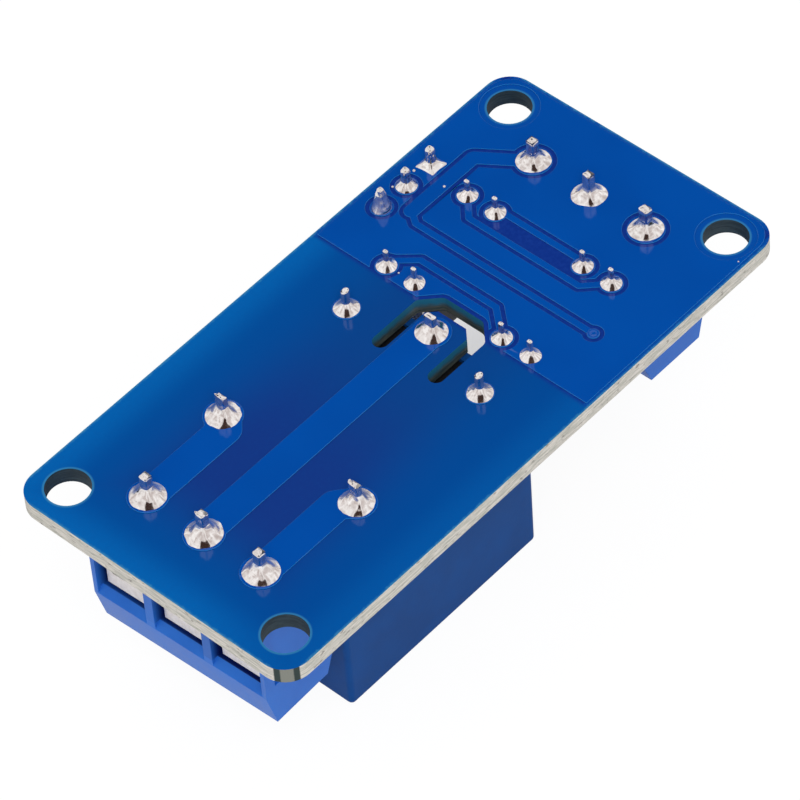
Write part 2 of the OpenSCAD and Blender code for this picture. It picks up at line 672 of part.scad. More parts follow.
// ---- copper of the component side ----
component_tracks = [
  [via_at, [11.0, -8.85]],
  [[11.0, -11.15], [13.0, -11.15]],
  [[13.0, -8.85], [15.0, -8.85]],
  [[15.0, -11.15], [17.2, -11.15]],
  [[8.35, -9], [9.2, -8.45], via_at],
  [[7.4, -11.1], [7.4, -11.5], [3.9, -11.5], [3.6, -10]],
  [[6.6, 8.85], [6.6, 7.6], [row_near_x, lead_y[1]]],
  [[6.6, 11.15], [8.5, 11.15], [header_x - small_pitch, header_y]],
  [[11.0, 1.15], [13.4, 1.15]],
  [[11.0, -1.15], [13.4, -1.15]],
  [[17.2, 11.15], [15.4, 11.15], [header_x + small_pitch, header_y]]];
component_track_w = 0.4;

module component_side_copper() color([0.02, 0.33, 0.72]) translate([0, 0, -seat]) linear_extrude(copper_t)
  difference() {
    union() {
      for (t = component_tracks) track(t, component_track_w);
      at(output_pins) circle(output_pad_r);
      at(input_pins) circle(input_pad_r);
      at(concat(relay_contact_pins, [common_at])) circle(contact_pad_r);
      at(relay_coil_pin_places) circle(coil_pad_r);
      at(header_pin_places) circle(header_pad_r);
      at(coupler_places) circle(coupler_pad_r);
      translate(via_at) circle(via_pad_r);
      turned(chip_places) both_ends() translate([chip_pad_x, 0]) square(chip_pad, center = true);
      turned([diode_place]) both_ends() translate([1.85, 0]) square([1.0, 1.1], center = true);
      turned([transistor_place]) at([for (p = transistor_feet) [p.x, p.y * 1.1]])
        square([0.7, 0.8], center = true);
    }
    drills();
  }

circuit_board();
solder_side_copper();
component_side_copper();
terminal_solder();
relay_solder();
header_solder();
coupler_solder();
output_terminal_housing();
output_terminal_contacts();
output_terminal_clamps();
output_terminal_screws();
input_terminal_housing();
input_terminal_contacts();
input_terminal_clamps();
input_terminal_screws();
relay_cover();
relay_base();
relay_bobbin();
relay_coil();
relay_core();
relay_yoke();
relay_common_pin();
relay_coil_pins();
relay_open_contact();
relay_closed_contact();
relay_armature();
relay_contact_spring();
relay_moving_contact();
coupler_a_body();
coupler_a_leads();
coupler_b_body();
coupler_b_leads();
header_base();
header_pins();
jumper_cap();
jumper_clip();
chip_resistors();
chip_ends();
chip_solder();
power_led();
status_led();
transistor_body();
transistor_leads();
diode_body();
diode_leads();
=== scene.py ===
"""Relay module board, solder side up: camera, studio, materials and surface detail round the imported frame."""

import json
import math

import bmesh
import bpy
from mathutils import Matrix, Vector, noise


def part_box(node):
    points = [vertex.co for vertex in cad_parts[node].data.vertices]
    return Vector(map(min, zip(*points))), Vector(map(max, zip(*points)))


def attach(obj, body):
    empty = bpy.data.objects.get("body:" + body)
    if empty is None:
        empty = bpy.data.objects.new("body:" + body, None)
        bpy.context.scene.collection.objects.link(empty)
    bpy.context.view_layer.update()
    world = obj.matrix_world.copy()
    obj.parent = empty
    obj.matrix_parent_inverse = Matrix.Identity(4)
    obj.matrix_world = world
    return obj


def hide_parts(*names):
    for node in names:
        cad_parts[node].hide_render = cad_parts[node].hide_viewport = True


MM = 0.001
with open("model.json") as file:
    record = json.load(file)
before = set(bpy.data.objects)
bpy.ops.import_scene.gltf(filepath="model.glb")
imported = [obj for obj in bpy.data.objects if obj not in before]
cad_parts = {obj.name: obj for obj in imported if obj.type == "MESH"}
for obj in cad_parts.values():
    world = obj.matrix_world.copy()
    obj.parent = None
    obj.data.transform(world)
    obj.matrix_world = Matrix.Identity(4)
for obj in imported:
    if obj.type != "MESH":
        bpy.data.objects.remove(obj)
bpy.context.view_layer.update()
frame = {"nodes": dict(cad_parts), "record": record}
nodes = frame["nodes"]

# places and sizes the surface detail needs, in millimetres
HALF_L, HALF_W = 24.8, 12.4                     # half the board's length and width
HOLE_X, HOLE_Y, HOLE_R = 22.1, 9.75, 1.6        # mounting holes: centres and radius
POUR_EDGE = (4.4, 4.9)                          # x over which bare laminate gives way to the pour
FACE, BACK = 0.07, -1.3                         # heights of the mask over copper and of the component side
OUTPUT_X, INPUT_X, TERMINAL_PITCH = -19.35, 19.23, 5.08     # rows of terminal pins
HEADER_X, HEADER_Y = (9.49, 12.03, 14.57), 10.35            # header pins
VIA = (9.8, -8.45)
INNER_L, INNER_W = 24.0, 11.8                   # walls nearer the middle than this are in a hole or the slot
SLOT_L = 12.0                                   # and nearer than this along the board, in the slot
BROKEN_X, BROKEN_Y = -22.6, -10.2               # where the near corner's marks end
BLOCK_PLAY = 0.15                               # how far the terminal blocks sit off the board's middle
CHAMBER_W, CHAMBER_LOW, CHAMBER_HIGH = 7.25, -7.8, -2.3     # wire chambers: half a row's width, and heights
CHAMBER_END, CHAMBER_MOUTH = 16.0, (23.0, 21.8)             # their inner end, and where their painted shade deepens from the mouth


# ---------------------------------------------------------------- camera
AZIMUTH, ELEVATION, ROLL = -44.095, 49.006, -5.309      # degrees, solved from the photograph
DISTANCE, SHIFT_RIGHT, SHIFT_UP = 384.153, -0.118, -2.651     # millimetres from the frame's origin


def aim_camera():
    """Camera at the photograph's angle, a long lens from well above the near-left corner."""
    azimuth, elevation, roll = (math.radians(a) for a in (AZIMUTH, ELEVATION, ROLL))
    back = Vector((math.sin(azimuth) * math.cos(elevation),
                   -math.cos(azimuth) * math.cos(elevation), math.sin(elevation)))
    level = Vector((math.cos(azimuth), math.sin(azimuth), 0))
    upward = back.cross(level)
    right = math.cos(roll) * level + math.sin(roll) * upward
    up = -math.sin(roll) * level + math.cos(roll) * upward
    data = bpy.data.cameras.new("camera")
    data.sensor_width = 36.0
    data.lens = 258.83
    data.clip_start, data.clip_end = 0.01, 20.0
    camera = bpy.data.objects.new("camera", data)
    camera.matrix_world = Matrix((right, up, back)).transposed().to_4x4()
    camera.matrix_world.translation = (back * DISTANCE + right * SHIFT_RIGHT + up * SHIFT_UP) * MM
    bpy.context.scene.collection.objects.link(camera)
    bpy.context.scene.camera = camera


# ---------------------------------------------------------------- colour and node helpers
def srgb(r, g, b):
    """Linear colour of an 8-bit one."""
    def channel(v):
        v /= 255
        return v / 12.92 if v <= 0.04045 else ((v + 0.055) / 1.055) ** 2.4
    return (channel(r), channel(g), channel(b), 1.0)


class Nodes:
    """Short calls for the nodes of one tree; any value is a number or another node's output."""

    def __init__(self, tree):
        self.tree = tree

    def node(self, kind, **settings):
        made = self.tree.nodes.new(kind)
        for key, value in settings.items():
            setattr(made, key, value)
        return made

    def feed(self, socket, value):
        if isinstance(value, bpy.types.NodeSocket):
            self.tree.links.new(value, socket)
        else:
            socket.default_value = value

    def place(self, scale=(1, 1, 1)):
        """Object position in millimetres, stretched by scale."""
        mapped = self.node("ShaderNodeMapping")
        self.feed(mapped.inputs["Vector"], self.node("ShaderNodeTexCoord").outputs["Object"])
        self.feed(mapped.inputs["Scale"], [s / MM for s in scale])
        return mapped.outputs["Vector"]

    def axes(self, vector):
        split = self.node("ShaderNodeSeparateXYZ")
        self.feed(split.inputs[0], vector)
        return split.outputs

    def levelness(self):
        """1 on faces that look straight up or down, 0 on walls."""
        return self.absolute(self.axes(self.node("ShaderNodeTexCoord").outputs["Normal"])[2])

    def math(self, operation, value, *others):
        """One math node, or a row of them that carries the operation on over further values."""
        for other in others or (0.0,):
            made = self.node("ShaderNodeMath", operation=operation)
            self.feed(made.inputs[0], value)
            self.feed(made.inputs[1], other)
            value = made.outputs[0]
        return value

    def absolute(self, value):
        return self.math("ABSOLUTE", value)

    def distance(self, x, y, centre):
        """Distance of x, y from a centre in the plane."""
        off = [self.math("SUBTRACT", value, middle) for value, middle in zip((x, y), centre)]
        return self.math("SQRT", self.math("ADD", *(self.math("MULTIPLY", o, o) for o in off)))

    def ramp(self, value, low, high, to_low=0.0, to_high=1.0):
        """Value carried smoothly from low..high to to_low..to_high."""
        made = self.node("ShaderNodeMapRange", interpolation_type="SMOOTHSTEP")
        for socket, number in zip(made.inputs, (value, low, high, to_low, to_high)):
            self.feed(socket, number)
        return made.outputs[0]

    def noise(self, vector, scale, detail=2.0, roughness=0.5):
        made = self.node("ShaderNodeTexNoise")
        for key, value in zip(("Vector", "Scale", "Detail", "Roughness"), (vector, scale, detail, roughness)):
            self.feed(made.inputs[key], value)
        return made.outputs[0]

    def mix(self, share, first, second):
        """The first colour where share is 0, the second where it is 1."""
        made = self.node("ShaderNodeMix", data_type="RGBA")
        for index, value in zip((0, 6, 7), (share, first, second)):
            self.feed(made.inputs[index], value)
        return made.outputs[2]


class Shader(Nodes):
    """A principled material under construction."""

    def __init__(self, name, **principled):
        self.material = bpy.data.materials.new(name)
        self.material.use_nodes = True
        super().__init__(self.material.node_tree)
        self.bsdf = self.tree.nodes["Principled BSDF"]
        for key, value in principled.items():
            self.bsdf.inputs[key.replace("_", " ")].default_value = value

    def colour(self, value):
        self.feed(self.bsdf.inputs["Base Color"], value)

    def rough(self, value):
        self.feed(self.bsdf.inputs["Roughness"], value)

    def bump(self, height, distance):
        made = self.node("ShaderNodeBump")
        self.feed(made.inputs["Strength"], 1.0)
        self.feed(made.inputs["Distance"], distance * MM)
        self.feed(made.inputs["Height"], height)
        self.feed(self.bsdf.inputs["Normal"], made.outputs[0])


# ---------------------------------------------------------------- materials
def mask_over_copper():
    """Glossy blue solder mask on copper: an even film, with a painted highlight in pale blue where it turns over
    the copper's edges.
    """
    s = Shader("copper_mask", Roughness=0.1, Specular_IOR_Level=0.4)
    here = s.place()
    face = s.mix(s.ramp(s.noise(here, 0.12), 0.3, 0.7), srgb(0, 75, 165), srgb(0, 79, 171))
    # painted highlight: the walls and turned-over edges of the copper are painted pale blue
    edge = s.ramp(s.levelness(), 0.97, 0.75)
    s.colour(s.mix(edge, face, srgb(4, 118, 192)))
    s.bump(s.noise(here, 1.2), 0.002)
    return s.material


def board_face(s, here):
    """Colour of the mask over bare laminate."""
    x, y, _ = s.axes(here)
    length, side = s.absolute(x), s.absolute(y)
    weave = s.noise(here, 3.0, 1.0)
    # output end: painted light and shade, as light seeps into the laminate at its edges: pale at the rim,
    # darkening inwards over the parts beneath, and a little darker towards -y
    from_side = s.math("SUBTRACT", HALF_W, side)
    inwards = s.math("MINIMUM", from_side, s.math("ADD", HALF_L, x))
    bare = s.mix(s.ramp(inwards, 0.2, 3.2), srgb(2, 98, 178), srgb(0, 78, 157))
    deep = s.mix(s.ramp(x, -12, 1), srgb(20, 56, 135), srgb(9, 68, 142))
    bare = s.mix(s.ramp(inwards, 2.4, 9.5), bare, deep)
    bare = s.mix(s.ramp(y, -3, -12, 0.0, 0.45), bare, srgb(0, 68, 148))
    bare = s.mix(s.ramp(weave, 0.3, 0.8, 0.0, 0.12), bare, srgb(14, 72, 150))
    # input end: dark lines between the copper, but the copper's colour round its holes and along the rim
    poured = s.ramp(x, *POUR_EDGE)
    line = s.mix(s.ramp(weave, 0.3, 0.8), srgb(14, 50, 138), srgb(20, 57, 146))
    to_hole = s.distance(length, side, (HOLE_X, HOLE_Y))
    border = s.math("MAXIMUM", s.ramp(x, 24.2, 24.4), s.ramp(side, 11.9, 12.05), s.ramp(to_hole, 2.4, 2.3))
    face = s.mix(poured, bare, line)
    face = s.mix(s.math("MULTIPLY", border, poured), face, srgb(4, 78, 168))
    # pale along the whole rim and round all four mounting holes
    to_rim = s.math("MINIMUM", from_side, s.math("SUBTRACT", HALF_L, length))
    ragged = s.math("ADD", to_rim, s.math("MULTIPLY", s.noise(here, 2.4, 3.0, 0.7), 0.4))
    pale_band = s.math("MAXIMUM", s.math("MULTIPLY", s.ramp(ragged, 0.42, 0.2), 0.6),
                  s.math("MULTIPLY", s.ramp(to_hole, HOLE_R + 0.2, HOLE_R + 0.08), 0.5))
    return s.mix(pale_band, face, srgb(66, 148, 184))


def board_walls(s, here, streaks):
    """Colour of the sawn rim, the drilled holes and the milled slot."""
    x, y, z = s.axes(here)
    length, side = s.absolute(x), s.absolute(y)
    # rim: resin and glass bundles in level streaks, with short dark cut ends
    fleck = s.noise(s.place((1.6, 1.6, 5.0)), 1.0, 2.0, 0.6)
    rim = s.mix(s.ramp(streaks, 0.35, 0.65), srgb(176, 176, 166), srgb(222, 216, 208))
    rim = s.mix(s.ramp(fleck, 0.6, 0.72, 0.0, 0.75), rim, srgb(112, 104, 100))
    # the near corner has a grey patch between two dark scars, where it was broken from its panel
    across_x, across_y, corner = 0.718, 0.696, 9.18     # a level direction, and how far the corner is along it
    across = s.math("SUBTRACT", s.math("MULTIPLY", x, across_x), s.math("MULTIPLY", y, across_y))
    patch = s.absolute(s.math("ADD", across, corner))
    scar = s.absolute(s.math("SUBTRACT", patch, 0.64))
    at_corner = s.math("MULTIPLY", s.math("LESS_THAN", x, BROKEN_X), s.math("LESS_THAN", y, BROKEN_Y))
    for mark, tone in ((s.ramp(patch, 0.5, 0.4), srgb(128, 130, 122)),
                       (s.ramp(scar, 0.26, 0.16), srgb(40, 56, 54))):
        rim = s.mix(s.math("MULTIPLY", at_corner, mark), rim, tone)
    # drilled walls and the slot are dark, with blue mask run over the slot's upper edge
    drilled = s.mix(s.ramp(streaks, 0.35, 0.65), srgb(26, 44, 56), srgb(46, 64, 74))
    milled = s.mix(s.ramp(streaks, 0.3, 0.7), srgb(36, 60, 68), srgb(96, 98, 90))
    run = s.math("ADD", z, s.math("MULTIPLY", s.noise(here, 1.4), 0.5))
    milled = s.mix(s.ramp(run, -0.7, -0.05), milled, srgb(24, 106, 140))
    inside = s.math("MULTIPLY", s.math("LESS_THAN", length, INNER_L), s.math("LESS_THAN", side, INNER_W))
    return s.mix(inside, rim, s.mix(s.math("LESS_THAN", length, SLOT_L), drilled, milled))


def board_mask():
    """Mask over bare laminate, with resin and glass showing on the rim and in the holes."""
    s = Shader("board_mask", Specular_IOR_Level=0.4)
    here = s.place()
    streaks = s.noise(s.place((0.35, 0.35, 4.0)), 1.6, 4.0, 0.7)
    flat = s.math("GREATER_THAN", s.levelness(), 0.7)
    s.colour(s.mix(flat, board_walls(s, here, streaks), board_face(s, here)))
    s.rough(s.ramp(flat, 0.0, 1.0, 0.75, 0.1))
    s.bump(s.math("MULTIPLY", streaks, s.math("SUBTRACT", 1.0, flat)), 0.02)
    return s.material


def solder():
    """Bright solder with a faint frosting where it froze last."""
    s = Shader("solder", Metallic=1.0)
    here = s.place()
    mottle = s.noise(here, 1.8, 3.0, 0.6)
    s.colour(s.mix(s.ramp(mottle, 0.35, 0.7), srgb(232, 226, 223), srgb(252, 248, 246)))
    s.rough(s.ramp(mottle, 0.3, 0.7, 0.08, 0.14))
    s.bump(s.noise(here, 2.2), 0.006)
    return s.material


def metal(name, low, high, roughness, height=0.004, tinned=False):
    """Metal with slight grain; where tinned, silvery above the board from a dip in solder."""
    s = Shader(name, Metallic=1.0)
    here = s.place()
    grain = s.noise(here, 2.5, 3.0, 0.6)
    tone = s.mix(s.ramp(grain, 0.3, 0.7), low, high)
    if tinned:
        tone = s.mix(s.ramp(s.axes(here)[2], -1.5, -1.3), tone, srgb(238, 234, 230))
    s.colour(tone)
    s.rough(s.ramp(grain, 0.3, 0.7, *roughness))
    s.bump(grain, height)
    return s.material


def moulded(name, low, high, roughness, **principled):
    """Moulded plastic with a fine spark texture and faint flow marks."""
    s = Shader(name, **principled)
    here = s.place()
    flow = s.noise(here, 0.25, 3.0, 0.6)
    s.colour(s.mix(s.ramp(flow, 0.3, 0.7), low, high))
    s.rough(s.ramp(flow, 0.3, 0.7, roughness * 0.9, roughness * 1.1))
    s.bump(s.noise(here, 6.0), 0.006)
    return s.material


def terminal_plastic():
    """Moulded blue block, with painted shade deep inside its wire chambers."""
    s = Shader("terminal_plastic", Specular_IOR_Level=0.2)
    here = s.place()
    x, y, height = s.axes(here)
    length = s.absolute(x)
    side = s.absolute(s.math("SUBTRACT", y, BLOCK_PLAY))
    flow = s.noise(here, 0.25, 3.0, 0.6)
    outer = s.mix(s.ramp(flow, 0.3, 0.7), srgb(34, 104, 199), srgb(42, 113, 208))
    # painted shade: dark navy inside the wire chambers, deepening from their mouths
    painted_chamber_shade = s.math("MULTIPLY", s.math("LESS_THAN", side, CHAMBER_W),
                     s.math("GREATER_THAN", height, CHAMBER_LOW), s.math("LESS_THAN", height, CHAMBER_HIGH),
                     s.math("GREATER_THAN", length, CHAMBER_END), s.ramp(length, *CHAMBER_MOUTH))
    s.colour(s.mix(painted_chamber_shade, outer, srgb(12, 26, 92)))
    s.rough(s.ramp(flow, 0.3, 0.7, 0.32, 0.4))
    s.bump(s.noise(here, 6.0), 0.004)
    return s.material


def windings():
    """Enamelled wire laid in level turns."""
    s = Shader("copper_wire", Metallic=0.7, Roughness=0.35)
    wave = s.node("ShaderNodeTexWave", bands_direction="Z")
    s.feed(wave.inputs["Vector"], s.place())
    s.feed(wave.inputs["Scale"], 2.2)
    turns = wave.outputs[1]
    # painted shade: the colour darkens in the grooves between the turns
    s.colour(s.mix(turns, srgb(120, 52, 22), srgb(214, 128, 74)))
    s.bump(turns, 0.06)
    return s.material


# ---------------------------------------------------------------- pieces
def smooth(piece, angle=35):
    for face in piece.data.polygons:
        face.use_smooth = True
    piece.data.set_sharp_from_angle(angle=math.radians(angle))


def wear(piece, material, slot=None):
    piece.data.materials.clear()
    piece.data.materials.append(material)


def softened(node, width):
    """A copy that stands for a CAD node, with its sharp edges rounded by width millimetres."""
    piece = nodes[node].copy()
    piece.data = nodes[node].data.copy()
    piece.name = node + "_finish"
    bpy.context.scene.collection.objects.link(piece)
    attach(piece, "module")
    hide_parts(node)
    mesh = bmesh.new()
    mesh.from_mesh(piece.data)
    bmesh.ops.remove_doubles(mesh, verts=mesh.verts, dist=0.0005 * MM)
    bmesh.ops.dissolve_limit(mesh, angle_limit=math.radians(1), verts=mesh.verts, edges=mesh.edges)
    sharp = [e for e in mesh.edges if len(e.link_faces) == 2 and e.calc_face_angle(0) > math.radians(30)]
    bmesh.ops.bevel(mesh, geom=sharp, offset=width * MM, segments=2, profile=0.5,
                    affect="EDGES", clamp_overlap=True)
    mesh.to_mesh(piece.data)
    mesh.free()
    smooth(piece)
    flat = piece.modifiers.new("flat_faces", "WEIGHTED_NORMAL")
    flat.weight, flat.keep_sharp = 100, True
    return piece


def new_piece(name, mesh, material, slot, angle=40):
    data = bpy.data.meshes.new(name)
    bmesh.ops.recalc_face_normals(mesh, faces=mesh.faces)
    mesh.to_mesh(data)
    mesh.free()
    piece = bpy.data.objects.new(name, data)
    bpy.context.scene.collection.objects.link(piece)
    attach(piece, "module")
    smooth(piece, angle)
    wear(piece, material, slot)
    return piece


def circle(radius, height, count):
    return [Vector((radius * math.cos(a), radius * math.sin(a), height))
            for a in (math.tau * i / count for i in range(count))]


def add_rings(mesh, rings, where):
    """A closed skin through the rings, moved to where, all in millimetres."""
    offset = Vector((where[0], where[1], 0))
    rows = [[mesh.verts.new((v + offset) * MM) for v in ring] for ring in rings]
    for low, high in zip(rows, rows[1:]):
        for i in range(len(low)):
            j = (i + 1) % len(low)
            mesh.faces.new((low[i], low[j], high[j], high[i]))
    for row, flip in ((rows[0], True), (rows[-1], False)):
        middle = mesh.verts.new(sum((v.co for v in row), Vector()) / len(row))
        for i in range(len(row)):
            j = (i + 1) % len(row)
            corners = (row[j], row[i], middle) if flip else (row[i], row[j], middle)
            mesh.faces.new(corners)


# ---------------------------------------------------------------- solder
# A joint's numbers are millimetres, degrees round it from +X, and shares:
#   at        its place; pin: half sizes of the pin, square: 2 for an oval, more for a squarer one
#   foot      half sizes of the fillet's foot, turned by turn; points: (bearing, length, width) drawn out of it
#   fillet    height where it meets the pin; hollow: how it gets there, more is steeper at the end
#   tip       height of the pin's end; edge: its rounding, crown: its bulge
#   slant     rise of the end along x and y; lean: its sideways shift; horns: (bearing, rise, width) on it
#   taper     share by which the pin thins; knob: share by which it swells again; rough: unevenness
PLAIN_JOINT = {"square": 2, "turn": 0, "points": (), "slant": (0, 0), "lean": (0, 0), "horns": (),
               "taper": 0, "knob": 0, "rough": 0.012}
AROUND = 64                     # points round a joint
FILLET_STEPS, POST_STEPS = 16, 7


def degrees_off(angle, bearing):
    """Signed degrees from a bearing to an angle."""
    return (math.degrees(angle) - bearing + 180) % 360 - 180


def rounded_box(angle, half_x, half_y, squareness):
    """Distance from the middle of a rounded rectangle to its edge; 2 is an ellipse, more is squarer."""
    c, s = abs(math.cos(angle)) / half_x, abs(math.sin(angle)) / half_y
    return (c ** squareness + s ** squareness) ** (-1 / squareness)


def foot_reach(joint, angle, seed):
    """Radius of a fillet's foot: an oval with a slow wobble, or a star of drawn-out points."""
    reach = rounded_box(angle - math.radians(joint["turn"]), *joint["foot"], 2)
    for bearing, length, width in joint["points"]:
        reach += length * math.exp(-abs(degrees_off(angle, bearing) / width))
    wobble = noise.noise(Vector((math.cos(angle), math.sin(angle), seed * 7.3)) * 1.3)
    return reach * (1 + 0.05 * wobble)


def fillet_height(r, pin, foot, hollow):
    """Height share at radius r of a fillet that rises ever steeper from its foot to the pin."""
    return (r ** -hollow - foot ** -hollow) / (pin ** -hollow - foot ** -hollow)


def fillet_rings(joint, angles, feet, pins):
    for i in range(FILLET_STEPS + 1):
        out = (1 - i / FILLET_STEPS) ** 1.6
        ring = []
        for a, foot, pin in zip(angles, feet, pins):
            r = pin + (foot - pin) * out
            up = fillet_height(r, pin, foot, joint["hollow"])
            ring.append(Vector((r * math.cos(a), r * math.sin(a), FACE + (joint["fillet"] - FACE) * up)))
        yield ring


def post_rings(joint, angles, pins):
    """The tinned pin above its fillet, turned over at the edge of its end."""
    neck, tip, edge = joint["fillet"], joint["tip"], joint["edge"]
    levels = [((i + 1) / POST_STEPS, 0.0) for i in range(POST_STEPS)]
    levels += [(1, math.radians(fold)) for fold in (22, 45, 68, 90)]
    for share, fold in levels:
        z = neck + (tip - edge - neck) * share + edge * math.sin(fold)
        swell = 1 - joint["taper"] * share + joint["knob"] * math.exp(-((share - 0.9) / 0.28) ** 2)
        inset = 1 - edge / min(joint["pin"]) * (1 - math.cos(fold))
        ring = []
        for a, pin in zip(angles, pins):
            r = pin * swell * inset
            spot = Vector((r * math.cos(a), r * math.sin(a), z))
            spot.x += joint["lean"][0] * share ** 2
            spot.y += joint["lean"][1] * share ** 2
            spot.z += share ** 3 * (joint["slant"][0] * spot.x + joint["slant"][1] * spot.y)
            for bearing, rise, width in joint["horns"]:
                spot.z += rise * share ** 3 * math.exp(-(degrees_off(a, bearing) / width) ** 2) * (r / pin)
            ring.append(spot)
        yield ring


def joint_rings(joint, drill_r, seed):
    """Rings of one soldered joint: hole, foot, fillet, tinned pin and its end, bottom to top."""
    angles = [math.tau * i / AROUND for i in range(AROUND)]
    feet = [foot_reach(joint, a, seed) for a in angles]
    pins = [rounded_box(a, *joint["pin"], joint["square"]) for a in angles]
    rings = list(fillet_rings(joint, angles, feet, pins)) + list(post_rings(joint, angles, pins))
    # close the end with a slight crown
    last = rings[-1]
    middle = sum(last, Vector()) / AROUND
    for keep in (0.66, 0.33):
        rings.append([middle + (v - middle) * keep + Vector((0, 0, joint["crown"])) for v in last])
    for ring in rings:
        for v in ring:
            v += Vector([joint["rough"] * noise.noise(v * 2.4 + Vector((seed, axis * 9, 0)))
                         for axis in range(3)])
    return [circle(drill_r, BACK, AROUND), circle(drill_r, FACE - 0.03, AROUND)] + rings


def solder_piece(node, drill_r, joints, material):
    """All joints of one CAD solder node, as one piece that stands for it."""
    mesh = bmesh.new()
    for i, joint in enumerate(joints):
        add_rings(mesh, joint_rings(PLAIN_JOINT | joint, drill_r, len(node) + 3.7 * i), joint["at"])
    piece = new_piece(node + "_finish", mesh, material, "solder", angle=60)
    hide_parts(node)


def terminal_joints(material):
    wide = {"pin": (0.355, 0.355), "square": 5, "fillet": 1.15, "hollow": 0.02, "tip": 2.16}
    out = dict(wide, foot=(1.28, 1.28))
    inp = dict(wide, foot=(1.27, 1.13), turn=-40, fillet=0.97, hollow=0.54)
    solder_piece("terminal_solder", 0.63, [
        dict(out, at=(OUTPUT_X, TERMINAL_PITCH), edge=0.24, slant=(-0.2, 0.12), crown=0.05, rough=0.03),
        dict(out, at=(OUTPUT_X, 0), foot=(1.32, 1.28), edge=0.12, rough=0.04, crown=-0.03,
             slant=(-0.15, -0.1), horns=((135, 0.26, 16), (-60, -0.12, 28))),
        dict(out, at=(OUTPUT_X, -TERMINAL_PITCH), edge=0.24, slant=(-0.16, 0.14), crown=0.05, rough=0.03),
        dict(inp, at=(INPUT_X, TERMINAL_PITCH), edge=0.26, crown=0.07, rough=0.02),
        dict(inp, at=(INPUT_X, 0), edge=0.2, slant=(-0.35, 0.2), taper=0.08, crown=0.04, rough=0.02),
        dict(inp, at=(INPUT_X, -TERMINAL_PITCH), edge=0.16, slant=(-0.24, 0.1), knob=0.1, crown=0.05),
    ], material)


def relay_joints(material):
    flat = {"pin": (0.26, 0.42), "square": 5, "foot": (1.24, 1.24), "fillet": 1.1, "hollow": 0.02,
            "crown": 0.03}
    coil = {"pin": (0.3, 0.3), "foot": (0.92, 0.92), "fillet": 0.72, "hollow": -0.15, "tip": 1.88,
            "edge": 0.14, "crown": 0.02}
    solder_piece("relay_solder", 0.58, [
        dict(flat, at=(-11.1, 6.0), tip=2.0, edge=0.1, rough=0.05, taper=0.1,
             slant=(-0.25, 0), horns=((115, 0.2, 18), (-30, -0.15, 25))),
        dict(flat, at=(-11.1, -6.0), tip=1.98, edge=0.12, taper=0.1, rough=0.03,
             slant=(-0.3, 0), horns=((88, 0.3, 24), (-90, -0.12, 40)), lean=(-0.04, 0.08)),
        dict(flat, at=(3.1, 0.1), foot=(1.15, 1.15), fillet=0.91, hollow=-0.23, tip=1.74, edge=0.12,
             slant=(-0.25, 0.0)),
        dict(coil, at=(1.1, 6.0), slant=(0.3, -0.35)),
        dict(coil, at=(1.1, -6.0), slant=(0.3, -0.3)),
    ], material)


def header_joints(material):
    post = {"pin": (0.335, 0.335), "square": 3, "foot": (0.76, 0.76), "fillet": 0.64, "hollow": -0.1,
            "tip": 1.77, "edge": 0.26, "crown": 0.06}
    left, middle, right = HEADER_X
    solder_piece("header_solder", 0.53, [
        # the solder of this one was drawn out into the four corners of its pad
        dict(post, at=(right, HEADER_Y), foot=(0.6, 0.6), fillet=0.55, hollow=0.3, taper=0.3, knob=0.24,
             points=((140, 0.5, 22), (228, 0.46, 22), (312, 0.54, 22), (46, 0.36, 22))),
        dict(post, at=(middle, HEADER_Y), taper=0.32, knob=0.2),
        dict(post, at=(left, HEADER_Y), foot=(0.78, 0.72), hollow=0.1, fillet=1.4, tip=1.9,
             taper=0.3, edge=0.2, rough=0.03, crown=0.05),
    ], material)


def coupler_joints(material):
    """The couplers' leads stand in low, full mounds."""
    small = {"pin": (0.15, 0.2), "square": 3, "foot": (0.74, 0.74), "fillet": 0.66, "hollow": -0.33,
             "tip": 1.56, "edge": 0.1, "crown": 0.03}
    leads = [(x, side * y) for side in (1, -1) for y in (3.93, 6.47) for x in (13.98, 5.68)]
    solder_piece("coupler_solder", 0.4, [dict(small, at=lead) for lead in leads], material)


def specks(material):
    """Beads of solder that spattered on the mask."""
    mesh = bmesh.new()
    for x, y, r in ((13.4, 10.88, 0.12), (13.59, 8.26, 0.11), (11.35, 11.02, 0.1), (20.85, -11.87, 0.07),
                    (5.69, 5.38, 0.08)):
        rings = [circle(r * math.cos(up), FACE - 0.02 + r * 0.9 * math.sin(up), 12)
                 for up in (0, 0.4, 0.8, 1.2)]
        add_rings(mesh, rings, (x, y))
    new_piece("solder_specks", mesh, material, "solder", angle=80)


def via_tent(material):
    """Film closed over the via, a shallow dimple inside its ring."""
    mesh = bmesh.new()
    profile = ((0.42, -0.03), (0.42, 0.01), (0.36, 0.025), (0.26, 0.012), (0.15, -0.015), (0.05, -0.02))
    add_rings(mesh, [circle(r, FACE + z, 32) for r, z in profile], VIA)
    new_piece("via_tent", mesh, material, "copper_mask", angle=70)


def header_posts(material):
    """Square posts drawn thinner and bevelled at both ends, in place of the plain bars."""
    low, high = (c.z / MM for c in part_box("header_pins"))
    profile = ((low, 0.16), (low + 0.5, 0.32), (-0.1, 0.32), (0.5, 0.3), (high - 0.35, 0.2), (high, 0.12))
    rings = [[Vector((half * a, half * b, z)) for a, b in ((1, -1), (1, 1), (-1, 1), (-1, -1))]
             for z, half in profile]
    mesh = bmesh.new()
    for x in HEADER_X:
        add_rings(mesh, rings, (x, HEADER_Y))
    piece = new_piece("header_pins_finish", mesh, material, "gold_plate")
    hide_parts("header_pins")


# ---------------------------------------------------------------- studio
CAMERA_BEARING = -134.1         # degrees from +X to the photographer
WINDOW_EDGE = 0.03              # half width of a window's soft edge
TENT_LIGHT = 0.66               # strength of the tent where it is neither seen nor mirrored
SHADE = (14.0, 7.0)             # middle of the shade on the floor, mm


